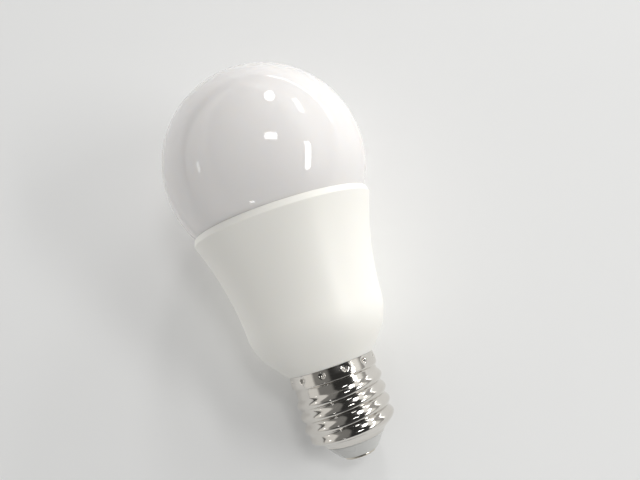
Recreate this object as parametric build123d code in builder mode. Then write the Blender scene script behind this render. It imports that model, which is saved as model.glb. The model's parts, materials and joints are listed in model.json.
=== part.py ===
"""A smart LED light bulb of the A60 size with an E27 screw cap, built as the separate pieces it is made of.

The axis is Z. The cap's centre contact ends on Z = 0 and the globe is on top. Lengths are in millimetres.
"""

import os
from math import cos, radians, sin, sqrt, tan

from build123d import *

os.makedirs("parts", exist_ok=True)

# Overall sizes
globe_r = 30.0  # A60: a globe 60 mm across
globe_wall = 1.2
globe_step = 0.3  # how far the globe's shoulder reaches over the mouth of the housing
running_gap = 0.15  # between curved faces that are pushed together

# Housing: a concave flank over a rounded shoulder and a cone that meets the cap
rim_z = 72.5  # top of the lip round the globe
lip_corner_z = 70.7
lip_top_r = 26.35
mouth_top_r = 26.0
mouth_r = 25.2
mouth_bevel = 0.8
ledge_z = 69.2  # what the globe's spigot stands on
narrow_r = 20.32
narrow_z = 36.0  # where the flank would stand upright
flank_curve = 95.0
shoulder_z = 35.8
shoulder_round = 18.0
inner_shoulder_round = 6.5
foot_r = 13.0
foot_z = 27.0  # underside of the housing, on the cap's edge
housing_wall = 1.5
neck_seat_r = 12.1
neck_seat_z = 23.3
neck_r = 11.55
neck_wall = 1.45
neck_end_z = 10.5

# Cap: an E27 shell pressed from thin sheet
sheet = 0.3
thread_pitch = 3.629
thread_root_r = 12.15
thread_crest_r = 13.07
thread_start_angle = 180.0
thread_start_z = 7.4
thread_turns = 3.8
collar_r = 12.8
collar_top_r = 12.55
collar_z = 23.2
cap_top_z = 26.9
cap_taper_z = 7.5
cap_end_r = 9.3
cap_end_z = 5.6
cap_roll_r = 8.7
cap_roll_z = 4.8
dimple_count = 12
dimple_first_angle = 15.0
dimple_ball = 1.1
dimple_out = 0.35  # how far the ball's centre stands outside the collar
dimple_z = 25.5

# Insulator and contact
insulator_face_r = 5.3
insulator_face_z = 0.7
insulator_cone_r = 8.45
insulator_top_z = 9.0
contact_r = 4.6
contact_thick = 0.9
contact_stem_r = 1.5
contact_stem_z = 8.0

# Heat path: cup, plate, pad and lamp board
cup_wall = 1.0
cup_bottom_z = 38.5
cup_top_gap = 0.2
shelf_width = 1.2
plate_z = 65.5
plate_thick = 1.5
pad_thick = 0.2
lamp_board_r = 20.0
lamp_board_thick = 1.2
wire_slot_long = 11.0
wire_slot_wide = 3.4
wire_slot_y = 1.9
screw_ring_r = 17.4
screw_r = 1.2
screw_head_r = 2.3
screw_head_high = 1.3
screw_long = 3.2
screw_count = 3
chip_long = 3.5
chip_wide = 2.8
chip_high = 0.7
white_ring_r = 13.2
white_count = 12
warm_ring_r = 8.6
warm_count = 6

# Driver board: a wide upper part and a tongue that reaches down the neck
board_thick = 1.2
board_wide = 28.0
board_step_z = 33.0
board_top_z = 62.0
tongue_gap = 0.7  # from the tongue's edges to the neck's wall
board_bottom_z = 12.5
rail_deep = 1.4
rail_thick = 0.9
pin_pitch = 2.54
pin_count = 4
pin_side = 0.64
lead_r = 0.55
bare_lead_r = 0.35
neutral_end_z = 15.0

# Heights that follow from the sizes above
plate_top_z = plate_z + plate_thick
pad_top_z = plate_top_z + pad_thick
lamp_board_top_z = pad_top_z + lamp_board_thick
spigot_r = mouth_r - 2 * running_gap
spigot_inner_r = spigot_r - globe_wall
globe_cut_z = rim_z - 0.3
globe_cut_r = mouth_r + globe_step
globe_z = globe_cut_z + sqrt(globe_r**2 - globe_cut_r**2)
neck_inner_r = neck_r - neck_wall
tongue_wide = 2 * (neck_inner_r - tongue_gap)
thread_path_r = thread_root_r - 0.1
board_face_y = board_thick / 2
neutral_y = -board_face_y - bare_lead_r - 0.05
cone_angle = radians(40.4)  # of the lower cone, from upright


def flank_radius(z):
    """Outer radius of the housing's concave flank at a height: one arc whose narrowest place is narrow_z."""
    return narrow_r + flank_curve - sqrt(flank_curve**2 - (z - narrow_z) ** 2)


def cone_height(r):
    """Height of the housing's lower cone at a radius: a straight line from the foot."""
    return foot_z + (r - foot_r) / tan(cone_angle)


def thread_ridge(round_r):
    """The rounded rib that the thread adds to a cylinder: a circle swept along the right-handed helix."""
    with BuildPart() as ridge:
        with BuildLine(Plane.XY.rotated((0, 0, thread_start_angle))) as helix:
            Helix(pitch=thread_pitch, height=thread_turns * thread_pitch, radius=thread_path_r,
                  center=(0, 0, thread_start_z))
        with BuildSketch(Plane(origin=helix.line @ 0, x_dir=(-1, 0, 0), z_dir=helix.line % 0)):
            Circle(round_r)
        sweep(path=helix.line, is_frenet=True)
    return ridge.part


def profile_corner(sketch, r, z):
    """The vertex of a profile sketch that lies at radius r and height z."""
    return sketch.vertices().sort_by_distance(Vector(r, z, 0))[0]


# Opal globe: a ball open at the bottom, with a stepped spigot that goes into the housing's mouth
with BuildPart() as diffuser_globe:
    with BuildSketch(Plane.XZ):
        inner_r = globe_r - globe_wall
        inner_cut_z = globe_z - sqrt(inner_r**2 - spigot_inner_r**2)
        with BuildLine():
            Polyline((spigot_inner_r, inner_cut_z), (spigot_inner_r, ledge_z), (spigot_r, ledge_z),
                     (spigot_r, globe_cut_z), (globe_cut_r, globe_cut_z))
            ThreePointArc((globe_cut_r, globe_cut_z), (globe_r, globe_z), (0, globe_z + globe_r))
            Line((0, globe_z + globe_r), (0, globe_z + inner_r))
            ThreePointArc((0, globe_z + inner_r), (inner_r, globe_z), (spigot_inner_r, inner_cut_z))
        make_face()
    revolve(axis=Axis.Z)
diffuser_globe.part.label = "diffuser_globe"
export_step(diffuser_globe.part, "parts/diffuser_globe.step")

# Glue ring that fills the bevelled groove between the globe and the lip
with BuildPart() as rim_adhesive:
    with BuildSketch(Plane.XZ):
        groove_floor_z = rim_z - mouth_bevel
        with BuildLine():
            Polyline((mouth_r - running_gap, groove_floor_z + 0.1), (mouth_r + 0.05, groove_floor_z + 0.1),
                     (mouth_top_r - 0.05, rim_z), (mouth_r - running_gap, rim_z), close=True)
        make_face()
    revolve(axis=Axis.Z)
    with Locations((0, 0, globe_z)):
        Sphere(globe_r + 0.02, mode=Mode.SUBTRACT)
rim_adhesive.part.label = "rim_adhesive"
export_step(rim_adhesive.part, "parts/rim_adhesive.step")

# White housing: lip, concave flank, shoulder, cone and the neck that the cap is crimped on
with BuildPart() as housing:
    with BuildSketch(Plane.XZ) as housing_profile:
        lip_corner_r = flank_radius(lip_corner_z)
        shoulder_r = flank_radius(shoulder_z)
        inner_ledge_r = flank_radius(ledge_z) - housing_wall
        inner_shoulder_r = shoulder_r - housing_wall
        wall_up = housing_wall / sin(cone_angle)
        inner_shoulder_z = cone_height(inner_shoulder_r) + wall_up
        flank_middle_z = (lip_corner_z + shoulder_z) / 2
        inner_middle_z = (ledge_z + inner_shoulder_z) / 2
        with BuildLine():
            Polyline((mouth_r, ledge_z), (mouth_r, rim_z - mouth_bevel), (mouth_top_r, rim_z),
                     (lip_top_r, rim_z), (lip_corner_r, lip_corner_z))
            ThreePointArc((lip_corner_r, lip_corner_z), (flank_radius(flank_middle_z), flank_middle_z),
                          (shoulder_r, shoulder_z))
            Polyline((shoulder_r, shoulder_z), (foot_r, foot_z), (neck_seat_r, foot_z),
                     (neck_seat_r, neck_seat_z), (neck_r, neck_seat_z - 0.6), (neck_r, neck_end_z),
                     (neck_inner_r, neck_end_z), (neck_inner_r, cone_height(neck_inner_r) + wall_up),
                     (inner_shoulder_r, inner_shoulder_z))
            ThreePointArc((inner_shoulder_r, inner_shoulder_z),
                          (flank_radius(inner_middle_z) - housing_wall, inner_middle_z),
                          (inner_ledge_r, ledge_z))
            Line((inner_ledge_r, ledge_z), (mouth_r, ledge_z))
        make_face()
        fillet(profile_corner(housing_profile, lip_top_r, rim_z), 0.3)
        fillet(profile_corner(housing_profile, lip_corner_r, lip_corner_z), 0.6)
        fillet(profile_corner(housing_profile, shoulder_r, shoulder_z), shoulder_round)
        inner_shoulder = profile_corner(housing_profile, inner_shoulder_r, inner_shoulder_z)
        fillet(inner_shoulder, inner_shoulder_round)
        fillet(profile_corner(housing_profile, foot_r, foot_z), 0.4)
    revolve(axis=Axis.Z)
    # Two pairs of rails in the neck hold the driver board's tongue by its edges
    rail_y = board_face_y + running_gap + rail_thick / 2
    rail_high = neck_seat_z - neck_end_z
    rail_reach = sqrt(neck_inner_r**2 - rail_y**2) + 0.3
    with Locations((0, 0, neck_end_z)):
        with GridLocations(2 * (rail_reach - rail_deep / 2), 2 * rail_y, 2, 2):
            Box(rail_deep, rail_thick, rail_high, align=(Align.CENTER, Align.CENTER, Align.MIN))
    # Blind pockets that the cap's crimp dimples are pressed into
    with Locations((0, 0, dimple_z)):
        with PolarLocations(collar_r + dimple_out, dimple_count, start_angle=dimple_first_angle):
            Sphere(dimple_ball + sheet + running_gap, mode=Mode.SUBTRACT)
    # Notch in the neck's end for the neutral lead
    with Locations((-neck_r, neutral_y, neck_end_z - 1)):
        Box(4 * neck_wall, 2 * bare_lead_r + 0.6, neutral_end_z + 1.5 - neck_end_z,
            align=(Align.CENTER, Align.CENTER, Align.MIN), mode=Mode.SUBTRACT)
housing.part.label = "housing"
export_step(housing.part, "parts/housing.step")

# The space inside the cap's shell, thread and dimples included
with BuildPart() as cap_bore:
    with BuildSketch(Plane.XZ):
        with BuildLine():
            Polyline((0, cap_roll_z - 0.1), (cap_roll_r - sheet, cap_roll_z - 0.1),
                     (cap_end_r - sheet, cap_end_z + sheet / 2),
                     (thread_root_r - sheet, cap_taper_z + sheet / 2),
                     (thread_root_r - sheet, collar_z - 0.6), (collar_r - sheet, collar_z + sheet / 2),
                     (collar_top_r - sheet, cap_top_z + 0.1), (0, cap_top_z + 0.1), close=True)
        make_face()
    revolve(axis=Axis.Z)
    add(thread_ridge(thread_crest_r - thread_path_r - sheet))
    with Locations((0, 0, dimple_z)):
        with PolarLocations(collar_r + dimple_out, dimple_count, start_angle=dimple_first_angle):
            Sphere(dimple_ball + sheet, mode=Mode.SUBTRACT)

# Screw cap: thin sheet with a rolled E27 thread, a collar crimped on the neck and a rolled lower edge
with BuildPart() as cap_shell:
    with BuildSketch(Plane.XZ):
        with BuildLine():
            Polyline((0, cap_roll_z), (cap_roll_r, cap_roll_z), (cap_end_r, cap_end_z),
                     (thread_root_r, cap_taper_z), (thread_root_r, collar_z - 0.6), (collar_r, collar_z),
                     (collar_r, collar_z + 1.4), (collar_top_r, cap_top_z), (0, cap_top_z), close=True)
        make_face()
    revolve(axis=Axis.Z)
    add(thread_ridge(thread_crest_r - thread_path_r))
    with Locations((0, 0, dimple_z)):
        with PolarLocations(collar_r + dimple_out, dimple_count, start_angle=dimple_first_angle):
            Sphere(dimple_ball, mode=Mode.SUBTRACT)
    add(cap_bore.part, mode=Mode.SUBTRACT)
cap_shell.part.label = "cap_shell"
export_step(cap_shell.part, "parts/cap_shell.step")

# Insulator: a plug in the shell's taper, a cone below it and a bore for the contact's stem
with BuildPart() as cap_insulator:
    with BuildSketch(Plane.XZ):
        seat_r = cap_roll_r - sheet - running_gap
        taper_inner_r = cap_end_r - sheet - running_gap
        plug_r = thread_root_r - sheet - running_gap
        with BuildLine():
            Polyline((0, insulator_face_z), (insulator_face_r, insulator_face_z),
                     (seat_r, cap_roll_z - 0.4), (seat_r, cap_roll_z), (taper_inner_r, cap_end_z + 0.2),
                     (plug_r, cap_taper_z + 0.3), (plug_r, insulator_top_z), (0, insulator_top_z), close=True)
        make_face()
    revolve(axis=Axis.Z)
    with Locations((0, 0, insulator_face_z)):
        Cylinder(contact_r + running_gap, contact_thick - insulator_face_z + 0.0001,
                 align=(Align.CENTER, Align.CENTER, Align.MIN), mode=Mode.SUBTRACT)
        Cylinder(contact_stem_r + 0.1, insulator_top_z, align=(Align.CENTER, Align.CENTER, Align.MIN),
                 mode=Mode.SUBTRACT)
cap_insulator.part.label = "cap_insulator"
export_step(cap_insulator.part, "parts/cap_insulator.step")

# Centre contact: a pressed button with a hollow stem that grips the live lead
with BuildPart() as centre_contact:
    Cylinder(contact_r, contact_thick, align=(Align.CENTER, Align.CENTER, Align.MIN))
    fillet(centre_contact.edges().group_by(Axis.Z)[0], 0.5)
    with Locations((0, 0, contact_thick)):
        Cylinder(contact_stem_r, contact_stem_z - contact_thick,
                 align=(Align.CENTER, Align.CENTER, Align.MIN))
    with Locations((0, 0, contact_stem_z)):
        Hole(lead_r + 0.05, depth=3.0)
centre_contact.part.label = "centre_contact"
export_step(centre_contact.part, "parts/centre_contact.step")

# Aluminium cup that lines the housing and carries the plate on a shelf near its mouth
with BuildPart() as heat_sink_cup:
    with BuildSketch(Plane.XZ):
        cup_gap = housing_wall + running_gap
        cup_top_z = ledge_z - cup_top_gap
        cup_middle_z = (cup_bottom_z + cup_top_z) / 2
        cup_inner_middle_z = (cup_bottom_z + plate_z) / 2
        mouth_wall_r = flank_radius(plate_z) - cup_gap - cup_wall
        shelf_r = mouth_wall_r - shelf_width
        with BuildLine():
            Line((flank_radius(cup_bottom_z) - cup_gap - cup_wall, cup_bottom_z),
                 (flank_radius(cup_bottom_z) - cup_gap, cup_bottom_z))
            ThreePointArc((flank_radius(cup_bottom_z) - cup_gap, cup_bottom_z),
                          (flank_radius(cup_middle_z) - cup_gap, cup_middle_z),
                          (flank_radius(cup_top_z) - cup_gap, cup_top_z))
            Polyline((flank_radius(cup_top_z) - cup_gap, cup_top_z), (mouth_wall_r, cup_top_z),
                     (mouth_wall_r, plate_z), (shelf_r, plate_z), (shelf_r, plate_z - 1.5))
            ThreePointArc((shelf_r, plate_z - 1.5),
                          (flank_radius(cup_inner_middle_z) - cup_gap - cup_wall - 0.4, cup_inner_middle_z),
                          (flank_radius(cup_bottom_z) - cup_gap - cup_wall, cup_bottom_z))
        make_face()
    revolve(axis=Axis.Z)
heat_sink_cup.part.label = "heat_sink_cup"
export_step(heat_sink_cup.part, "parts/heat_sink_cup.step")

# Plate, pad and lamp board: three discs in one stack, with the same slot for the pins and the same screws
plate_r = mouth_wall_r - 0.1
with BuildPart() as heat_spreader_plate:
    with BuildSketch(Plane.XY.offset(plate_z)):
        Circle(plate_r)
        with PolarLocations(screw_ring_r, screw_count, start_angle=90):
            Circle(screw_r + 0.05, mode=Mode.SUBTRACT)
        with Locations((0, wire_slot_y)):
            Rectangle(wire_slot_long, wire_slot_wide, mode=Mode.SUBTRACT)
    extrude(amount=plate_thick)
    fillet(heat_spreader_plate.edges().group_by(Axis.Z)[0].sort_by(SortBy.LENGTH)[-1], 0.3)
heat_spreader_plate.part.label = "heat_spreader_plate"
export_step(heat_spreader_plate.part, "parts/heat_spreader_plate.step")

with BuildPart() as thermal_pad:
    with BuildSketch(Plane.XY.offset(plate_top_z)):
        Circle(lamp_board_r - 0.5)
        with PolarLocations(screw_ring_r, screw_count, start_angle=90):
            Circle(screw_r + 0.4, mode=Mode.SUBTRACT)
        with Locations((0, wire_slot_y)):
            Rectangle(wire_slot_long, wire_slot_wide, mode=Mode.SUBTRACT)
    extrude(amount=pad_thick)
thermal_pad.part.label = "thermal_pad"
export_step(thermal_pad.part, "parts/thermal_pad.step")

with BuildPart() as lamp_board:
    with BuildSketch(Plane.XY.offset(pad_top_z)):
        Circle(lamp_board_r)
        with PolarLocations(screw_ring_r, screw_count, start_angle=90):
            Circle(screw_r + 0.2, mode=Mode.SUBTRACT)
        with Locations((0, wire_slot_y)):
            with GridLocations(pin_pitch, 1, pin_count, 1):
                Circle(pin_side, mode=Mode.SUBTRACT)
    extrude(amount=lamp_board_thick)
lamp_board.part.label = "lamp_board"
export_step(lamp_board.part, "parts/lamp_board.step")


def chip_ring(ring_r, count, first_angle):
    """A ring of separate light chips on the lamp board, their long sides across the radius."""
    with BuildPart() as ring:
        with BuildSketch(Plane.XY.offset(lamp_board_top_z)):
            with PolarLocations(ring_r, count, start_angle=first_angle):
                Rectangle(chip_wide, chip_long)
        extrude(amount=chip_high)
    return ring.part


# Two colours of light chip, so that the light can go from white to warm
with BuildPart() as white_light_chips:
    add(chip_ring(white_ring_r, white_count, 15))
white_light_chips.part.label = "white_light_chips"
export_step(white_light_chips.part, "parts/white_light_chips.step")

with BuildPart() as warm_light_chips:
    add(chip_ring(warm_ring_r, warm_count, 0))
warm_light_chips.part.label = "warm_light_chips"
export_step(warm_light_chips.part, "parts/warm_light_chips.step")

# Screws that clamp the lamp board to the plate
with BuildPart() as board_screws:
    with BuildSketch(Plane.XY.offset(lamp_board_top_z)):
        with PolarLocations(screw_ring_r, screw_count, start_angle=90):
            Circle(screw_head_r)
    extrude(amount=screw_head_high)
    fillet(board_screws.edges().group_by(Axis.Z)[-1], 0.5)
    with BuildSketch(Plane.XY.offset(lamp_board_top_z)):
        with PolarLocations(screw_ring_r, screw_count, start_angle=90):
            Circle(screw_r)
    extrude(amount=-screw_long)
    with BuildSketch(Plane.XY.offset(lamp_board_top_z + screw_head_high)):
        with PolarLocations(screw_ring_r, screw_count, start_angle=90):
            Rectangle(2.6, 0.5)
            Rectangle(0.5, 2.6)
    extrude(amount=-0.6, mode=Mode.SUBTRACT)
board_screws.part.label = "board_screws"
export_step(board_screws.part, "parts/board_screws.step")

# Socket on the lamp board that takes the driver's pins
socket_high = 2.6
with BuildPart() as board_socket:
    with BuildSketch(Plane.XY.offset(lamp_board_top_z)):
        with Locations((0, wire_slot_y)):
            Rectangle(pin_count * pin_pitch, 2.5)
            with GridLocations(pin_pitch, 1, pin_count, 1):
                Rectangle(pin_side + 0.1, pin_side + 0.1, mode=Mode.SUBTRACT)
    extrude(amount=socket_high)
board_socket.part.label = "board_socket"
export_step(board_socket.part, "parts/board_socket.step")

# Driver board, standing on the axis: wide above the shoulder, a tongue between the neck's rails
with BuildPart() as driver_board:
    with BuildSketch(Plane.XZ.offset(-board_face_y)):
        with BuildLine():
            Polyline((-tongue_wide / 2, board_bottom_z), (tongue_wide / 2, board_bottom_z),
                     (tongue_wide / 2, board_step_z - 4), (board_wide / 2, board_step_z + 1.5),
                     (board_wide / 2, board_top_z), (-board_wide / 2, board_top_z),
                     (-board_wide / 2, board_step_z + 1.5), (-tongue_wide / 2, board_step_z - 4), close=True)
        make_face()
    extrude(amount=board_thick)
driver_board.part.label = "driver_board"
export_step(driver_board.part, "parts/driver_board.step")

# Header block on the driver board and its pins, which pass through the plate and into the socket
header_z = 55.0
header_high = 2.5
with BuildPart() as pin_header:
    with BuildSketch(Plane.XY.offset(header_z)):
        with Locations((0, wire_slot_y)):
            Rectangle(pin_count * pin_pitch, 2 * (wire_slot_y - board_face_y))
            with GridLocations(pin_pitch, 1, pin_count, 1):
                Rectangle(pin_side, pin_side, mode=Mode.SUBTRACT)
    extrude(amount=header_high)
pin_header.part.label = "pin_header"
export_step(pin_header.part, "parts/pin_header.step")

with BuildPart() as driver_pins:
    with BuildSketch(Plane.XY.offset(header_z - 1.0)):
        with Locations((0, wire_slot_y)):
            with GridLocations(pin_pitch, 1, pin_count, 1):
                Rectangle(pin_side, pin_side)
    extrude(amount=lamp_board_top_z + socket_high - 0.5 - header_z + 1.0)
    chamfer(driver_pins.edges().group_by(Axis.Z)[-1], 0.15)
driver_pins.part.label = "driver_pins"
export_step(driver_pins.part, "parts/driver_pins.step")


def front_block(x, z, wide, deep, high, edge=0.0):
    """A box on the driver board's front face (+Y), from height z up."""
    with BuildPart() as block:
        with Locations((x, board_face_y, z)):
            Box(wide, deep, high, align=(Align.CENTER, Align.MIN, Align.MIN))
        if edge:
            chamfer(block.faces().sort_by(Axis.Y)[-1].edges(), edge)
    return block.part


def back_block(x, z, wide, deep, high, edge=0.0):
    """A box on the driver board's back face (-Y), from height z up."""
    with BuildPart() as block:
        with Locations((x, -board_face_y, z)):
            Box(wide, deep, high, align=(Align.CENTER, Align.MAX, Align.MIN))
        if edge:
            chamfer(block.faces().sort_by(Axis.Y)[0].edges(), edge)
    return block.part


# Isolating transformer: winding on a bobbin inside a closed ferrite core
transformer_x = -5.5
transformer_z = 38.0
core_wide = 13.0
core_deep = 10.5
core_high = 12.5
core_leg = 2.6
with BuildPart() as transformer_core:
    add(front_block(transformer_x, transformer_z, core_wide, core_deep, core_high, 0.3))
    with Locations((transformer_x, board_face_y + core_deep / 2, transformer_z + core_high / 2)):
        Box(core_wide - 2 * core_leg, core_deep * 2, core_high - 2 * core_leg, mode=Mode.SUBTRACT)
        Cylinder(core_leg / 2, core_high - 1, rotation=(0, 0, 0))
transformer_core.part.label = "transformer_core"
export_step(transformer_core.part, "parts/transformer_core.step")

window_high = core_high - 2 * core_leg
bobbin_r = core_leg / 2 + running_gap
winding_r = (core_wide - 2 * core_leg) / 2 - 0.3
with BuildPart() as transformer_bobbin:
    with Locations((transformer_x, board_face_y + core_deep / 2, transformer_z + core_leg)):
        Cylinder(bobbin_r + 0.7, window_high, align=(Align.CENTER, Align.CENTER, Align.MIN))
        Cylinder(winding_r, 0.8, align=(Align.CENTER, Align.CENTER, Align.MIN))
    with Locations((transformer_x, board_face_y + core_deep / 2, transformer_z + core_high - core_leg)):
        Cylinder(winding_r, 0.8, align=(Align.CENTER, Align.CENTER, Align.MAX))
    with Locations((transformer_x, board_face_y + core_deep / 2, transformer_z + core_high / 2)):
        Cylinder(bobbin_r, window_high, mode=Mode.SUBTRACT)
transformer_bobbin.part.label = "transformer_bobbin"
export_step(transformer_bobbin.part, "parts/transformer_bobbin.step")

with BuildPart() as transformer_winding:
    with Locations((transformer_x, board_face_y + core_deep / 2, transformer_z + core_high / 2)):
        Cylinder(winding_r - 0.2, window_high - 1.6)
        Cylinder(bobbin_r + 0.75, window_high, mode=Mode.SUBTRACT)
transformer_winding.part.label = "transformer_winding"
export_step(transformer_winding.part, "parts/transformer_winding.step")


def can_capacitor(x, y, z, radius, high):
    """An electrolytic can standing along Z, with a crimped groove near its foot and a rounded top."""
    with BuildPart() as can:
        with Locations((x, y, z)):
            Cylinder(radius, high, align=(Align.CENTER, Align.CENTER, Align.MIN))
        fillet(can.edges(), 0.5)
        with Locations((x, y, z + 1.8)):
            Torus(radius + 0.25, 0.6, mode=Mode.SUBTRACT)
    return can.part


# Two electrolytic capacitors: mains side behind the board, lamp side in front
input_can_r = 5.0
with BuildPart() as input_capacitor:
    add(can_capacitor(-7.0, -board_face_y - 0.1 - input_can_r, 36.0, input_can_r, 16.0))
input_capacitor.part.label = "input_capacitor"
export_step(input_capacitor.part, "parts/input_capacitor.step")

output_can_r = 4.0
with BuildPart() as output_capacitor:
    add(can_capacitor(8.0, board_face_y + 0.1 + output_can_r, 37.0, output_can_r, 12.0))
output_capacitor.part.label = "output_capacitor"
export_step(output_capacitor.part, "parts/output_capacitor.step")

# Drum-core choke behind the board: the drum and its winding
choke_x = 6.5
choke_z = 36.0
choke_r = 4.0
choke_high = 8.0
choke_y = -board_face_y - 0.1 - choke_r
with BuildPart() as choke_core:
    with Locations((choke_x, choke_y, choke_z)):
        Cylinder(choke_r, choke_high, align=(Align.CENTER, Align.CENTER, Align.MIN))
    with BuildSketch(Plane.XY.offset(choke_z + 1.2)):
        with Locations((choke_x, choke_y)):
            Circle(choke_r + 1)
            Circle(choke_r / 2, mode=Mode.SUBTRACT)
    extrude(amount=choke_high - 2.4, mode=Mode.SUBTRACT)
choke_core.part.label = "choke_core"
export_step(choke_core.part, "parts/choke_core.step")

with BuildPart() as choke_winding:
    with BuildSketch(Plane.XY.offset(choke_z + 1.25)):
        with Locations((choke_x, choke_y)):
            Circle(choke_r - 0.3)
            Circle(choke_r / 2 + 0.1, mode=Mode.SUBTRACT)
    extrude(amount=choke_high - 2.5)
choke_winding.part.label = "choke_winding"
export_step(choke_winding.part, "parts/choke_winding.step")

# Mains parts on the tongue: film capacitor, surge disc, fusible resistor and bridge
film_wide = 9.0
film_deep = 5.0
film_x = sqrt((neck_inner_r - 0.9) ** 2 - (board_face_y + film_deep) ** 2) - film_wide / 2
with BuildPart() as film_capacitor:
    add(back_block(film_x, 23.5, film_wide, film_deep, 8.0, 0.6))
film_capacitor.part.label = "film_capacitor"
export_step(film_capacitor.part, "parts/film_capacitor.step")

surge_disc_r = 3.5
with BuildPart() as surge_disc:
    with BuildSketch(Plane.XZ.offset(-board_face_y - 1.0)):
        with Locations((0, 18.0)):
            Circle(surge_disc_r)
    extrude(amount=-2.8)
    fillet(surge_disc.edges(), 1.0)
    for leg_x in (-2.5, 2.5):
        with Locations((leg_x, board_face_y, 18.0)):
            Box(0.6, 1.6, 0.6, align=(Align.CENTER, Align.MIN, Align.CENTER))
surge_disc.part.label = "surge_disc"
export_step(surge_disc.part, "parts/surge_disc.step")

fuse_r = 1.5
with BuildPart() as fusible_resistor:
    with Locations((-4.6, -board_face_y - 0.2 - fuse_r, 18.0)):
        Cylinder(fuse_r, 8.0, align=(Align.CENTER, Align.CENTER, Align.MIN))
        fillet(fusible_resistor.edges(), 0.5)
fusible_resistor.part.label = "fusible_resistor"
export_step(fusible_resistor.part, "parts/fusible_resistor.step")

with BuildPart() as bridge_rectifier:
    add(front_block(0, 25.0, 4.7, 2.4, 6.5, 0.25))
bridge_rectifier.part.label = "bridge_rectifier"
export_step(bridge_rectifier.part, "parts/bridge_rectifier.step")

# Switching parts and the small chips
with BuildPart() as switching_transistor:
    add(back_block(6.5, 47.5, 6.6, 2.3, 6.2, 0.25))
switching_transistor.part.label = "switching_transistor"
export_step(switching_transistor.part, "parts/switching_transistor.step")

with BuildPart() as driver_chip:
    add(front_block(8.6, 51.8, 5.0, 1.6, 4.0, 0.2))
driver_chip.part.label = "driver_chip"
export_step(driver_chip.part, "parts/driver_chip.step")

with BuildPart() as chip_resistors:
    with Locations((-8.0, board_face_y, 53.6)):
        with Locations((0, 0, 0), (-2.6, 0, 0), (0, 0, 4.4), (-2.6, 0, 4.4)):
            Box(1.6, 0.6, 3.2, align=(Align.CENTER, Align.MIN, Align.MIN))
chip_resistors.part.label = "chip_resistors"
export_step(chip_resistors.part, "parts/chip_resistors.step")

with BuildPart() as chip_capacitors:
    with Locations((9.0, board_face_y, 58.0)):
        with GridLocations(2.4, 1, 3, 1):
            Box(1.25, 1.0, 2.0, align=(Align.CENTER, Align.MIN, Align.MIN))
chip_capacitors.part.label = "chip_capacitors"
export_step(chip_capacitors.part, "parts/chip_capacitors.step")

# Radio board on the back face, with its shield can, and a printed antenna above the driver board's edge
radio_x = -5.5
radio_z = 53.2
radio_wide = 12.0
radio_high = 11.4
radio_thick = 0.8
with BuildPart() as radio_board:
    add(back_block(radio_x, radio_z, radio_wide, radio_thick, radio_high))
radio_board.part.label = "radio_board"
export_step(radio_board.part, "parts/radio_board.step")

with BuildPart() as radio_shield:
    with BuildSketch(Plane.XZ.offset(board_face_y + radio_thick)):
        with Locations((radio_x, radio_z + 4.2)):
            RectangleRounded(9.6, 7.0, 0.5)
    extrude(amount=1.8)
    with BuildSketch(Plane.XZ.offset(board_face_y + radio_thick)):
        with Locations((radio_x, radio_z + 4.2)):
            Rectangle(9.6 - 0.5, 7.0 - 0.5)
    extrude(amount=1.55, mode=Mode.SUBTRACT)
radio_shield.part.label = "radio_shield"
export_step(radio_shield.part, "parts/radio_shield.step")

with BuildPart() as radio_chip:
    with Locations((radio_x, -board_face_y - radio_thick, radio_z + 4.2)):
        Box(4.0, 0.9, 4.0, align=(Align.CENTER, Align.MAX, Align.CENTER))
radio_chip.part.label = "radio_chip"
export_step(radio_chip.part, "parts/radio_chip.step")

antenna_track = 0.5
antenna_pitch = 1.2
antenna_low_z = radio_z + 8.4
antenna_high = 2.2
with BuildPart() as radio_antenna:
    with BuildSketch(Plane.XZ.offset(board_face_y + radio_thick)):
        for step in range(8):
            with Locations((radio_x + (step - 3.5) * antenna_pitch, antenna_low_z + antenna_high / 2)):
                Rectangle(antenna_track, antenna_high)
        for step in range(7):
            bar_z = antenna_low_z + (antenna_high - antenna_track / 2 if step % 2 else antenna_track / 2)
            with Locations((radio_x + (step - 3.0) * antenna_pitch, bar_z)):
                Rectangle(antenna_pitch + antenna_track, antenna_track)
    extrude(amount=0.1)
radio_antenna.part.label = "radio_antenna"
export_step(radio_antenna.part, "parts/radio_antenna.step")


def lead(points, radius, bend):
    """A round wire along straight runs joined by arcs."""
    with BuildPart() as wire:
        with BuildLine() as path:
            FilletPolyline(*points, radius=bend)
        with BuildSketch(Plane(origin=path.line @ 0, z_dir=path.line % 0)):
            Circle(radius)
        sweep(path=path.line)
    return wire.part


# Live lead from the board's foot into the contact's stem
live_y = board_face_y + lead_r + 0.05
with BuildPart() as live_lead:
    add(lead([(3.2, live_y, 16.5), (3.2, live_y, 12.6), (0, 0, 10.4), (0, 0, contact_stem_z - 2.8)],
             lead_r, 1.4))
live_lead.part.label = "live_lead"
export_step(live_lead.part, "parts/live_lead.step")

# Neutral lead from the board's foot, round the neck's end and up against the inside of the shell
neutral_x = 2.6 - tongue_wide / 2
neutral_outer_x = -sqrt((thread_root_r - sheet - bare_lead_r - 0.05) ** 2 - neutral_y**2)
with BuildPart() as neutral_lead:
    add(lead([(neutral_x, neutral_y, 16.5), (neutral_x, neutral_y, 9.6), (neutral_outer_x, neutral_y, 9.6),
              (neutral_outer_x, neutral_y, neutral_end_z)], bare_lead_r, 0.8))
neutral_lead.part.label = "neutral_lead"
export_step(neutral_lead.part, "parts/neutral_lead.step")
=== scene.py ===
# %% [markdown]
# # A smart light bulb
# A real bulb of this kind is six visible pieces stacked on one axis: an opal globe, a bead of glue, a
# white housing, a screw cap of thin nickel-plated sheet, an insulator and a contact. The frame gives
# every size and place. Each visible piece is made again here as a smooth surface of revolution, because
# the frame's triangles are flat and a glossy globe shows every one of them. The boards inside keep their
# own meshes.

# %% Load the frame
import json

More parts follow.
